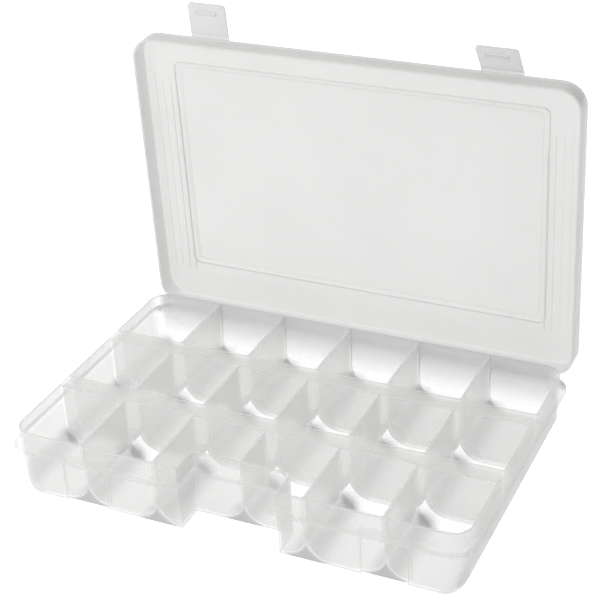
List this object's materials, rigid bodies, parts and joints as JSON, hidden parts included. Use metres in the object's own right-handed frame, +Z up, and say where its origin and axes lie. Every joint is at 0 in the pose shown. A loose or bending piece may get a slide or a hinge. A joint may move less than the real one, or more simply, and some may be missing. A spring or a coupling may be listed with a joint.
{
  "type": "compartment box",
  "caption": "Translucent plastic sewing box with rows of scooped compartments, a film-hinged lid and two snap latches on its front edge.",
  "frame": {"origin": "middle of the outline of the box as drawn with its lid open, on the resting plane; it lies 8.8 mm behind the middle of the tray", "axes": "+Z up, -Y towards the front where the latches close, +X along the length to the right"},
  "size_m": [0.2772, 0.1971, 0.2349],
  "materials": {
    "tray_pp": "natural translucent polypropylene, smooth",
    "lid_pp": "natural translucent polypropylene, slightly milky",
    "hinge_pp": "natural translucent polypropylene, thin flexed film",
    "latch_pp": "natural translucent polypropylene, smooth"
  },
  "bodies": {
    "tray": {"cup_front_1": "tray_pp", "cup_front_2": "tray_pp", "cup_front_3": "tray_pp", "cup_front_4": "tray_pp", "cup_front_5": "tray_pp", "cup_front_6": "tray_pp", "cup_middle_1": "tray_pp", "cup_middle_2": "tray_pp", "cup_middle_3": "tray_pp", "cup_middle_4": "tray_pp", "cup_middle_5": "tray_pp", "cup_middle_6": "tray_pp", "cup_rear_1": "tray_pp", "cup_rear_2": "tray_pp", "cup_rear_3": "tray_pp", "cup_rear_4": "tray_pp", "cup_rear_5": "tray_pp", "cup_rear_6": "tray_pp", "front_wall": "tray_pp", "rear_wall": "tray_pp", "left_wall": "tray_pp", "right_wall": "tray_pp", "ledge_front": "tray_pp", "ledge_rear": "tray_pp", "flange": "tray_pp", "hinge_rail": "hinge_pp"},
    "lid": {"lid_panel": "lid_pp", "lid_skirt": "lid_pp", "latch_lug_left": "lid_pp", "latch_lug_right": "lid_pp"},
    "latch_left_body": {"latch_left": "latch_pp"},
    "latch_right_body": {"latch_right": "latch_pp"}
  },
  "joints": [
    {"name": "lid_hinge", "type": "hinge", "parent": "tray", "child": "lid", "pos_m": [0, 0.0845, 0.029], "axis": [1, 0, 0], "range_deg": [0, 87.7]},
    {"name": "latch_left_hinge", "type": "hinge", "parent": "lid", "child": "latch_left_body", "pos_m": [-0.09, 0.08926, 0.21444], "axis": [1, 0, 0], "range_deg": [-34, 86]},
    {"name": "latch_right_hinge", "type": "hinge", "parent": "lid", "child": "latch_right_body", "pos_m": [0.09, 0.08926, 0.21444], "axis": [1, 0, 0], "range_deg": [-62, 58]}
  ]
}
